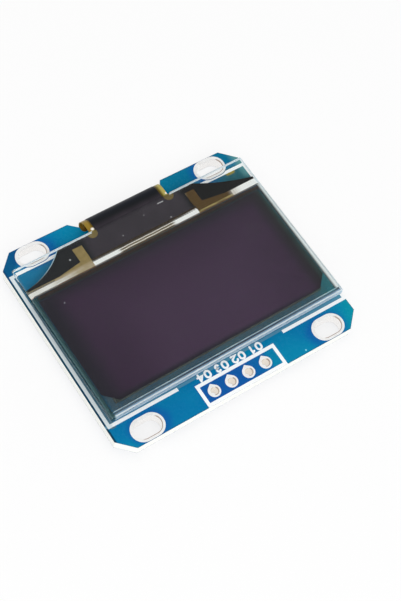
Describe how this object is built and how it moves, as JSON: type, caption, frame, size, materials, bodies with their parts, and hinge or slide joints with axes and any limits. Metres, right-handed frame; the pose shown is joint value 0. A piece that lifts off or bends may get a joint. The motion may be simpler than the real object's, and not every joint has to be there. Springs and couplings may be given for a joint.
{
  "type": "small OLED display module",
  "caption": "Blue circuit board with a small glass OLED panel taped on, a film tail folded through a notch to lands on the back, a header row and slotted corner holes.",
  "frame": {"origin": "middle of the rectangle of corner slots, on the back face of the circuit board", "axes": "+X along the header edge, +Y from the header edge to the notched edge, +Z out of the display"},
  "size_m": [0.0358, 0.0304, 0.0049],
  "materials": {
    "board": "gloss blue solder mask on glass-fibre laminate",
    "print": "white screen print",
    "plating": "bright tinned copper plating",
    "foam": "white closed-cell foam tape",
    "glass": "clear polished sheet glass",
    "dryer": "off-white drying sheet",
    "seal": "cured sealing resin",
    "emitter": "dark light-emitting layers",
    "leads": "bright metal leads",
    "polarizer": "neutral polarizing film",
    "film": "amber polyimide film",
    "film_cover": "black cover coat",
    "chip": "bare silicon",
    "resin": "black resin",
    "copper": "bare copper",
    "tin": "tinned copper",
    "solder": "smooth solder",
    "capacitor": "fired tan ceramic",
    "resistor": "black glazed film on ceramic",
    "case": "black moulded resin"
  },
  "bodies": {
    "root": {"back_print": "print", "cap_glass": "glass", "capacitor_1": "capacitor", "capacitor_2": "capacitor", "capacitor_3": "capacitor", "capacitor_4": "capacitor", "capacitor_5": "capacitor", "capacitor_6": "capacitor", "capacitor_7": "capacitor", "capacitor_ends": "tin", "chip_resin": "resin", "circuit_board": "board", "diode_case": "case", "diode_legs": "tin", "driver_chip": "chip", "drying_sheet": "dryer", "emitter_layer": "emitter", "foam_tape": "foam", "front_glass": "glass", "front_print": "print", "glass_leads": "leads", "header_eyelet_1": "plating", "header_eyelet_2": "plating", "header_eyelet_3": "plating", "header_eyelet_4": "plating", "part_lands": "tin", "part_solder": "solder", "polarizer": "polarizer", "regulator_case": "case", "regulator_legs": "tin", "resistor_1": "resistor", "resistor_2": "resistor", "resistor_3": "resistor", "resistor_4": "resistor", "resistor_5": "resistor", "resistor_6": "resistor", "resistor_7": "resistor", "resistor_8": "resistor", "resistor_ends": "tin", "seal_bead": "seal", "slot_plating_1": "plating", "slot_plating_2": "plating", "slot_plating_3": "plating", "slot_plating_4": "plating", "tail_contacts": "copper", "tail_cover": "film_cover", "tail_film": "film", "tail_lands": "tin", "tail_solder": "solder"}
  },
  "joints": []
}
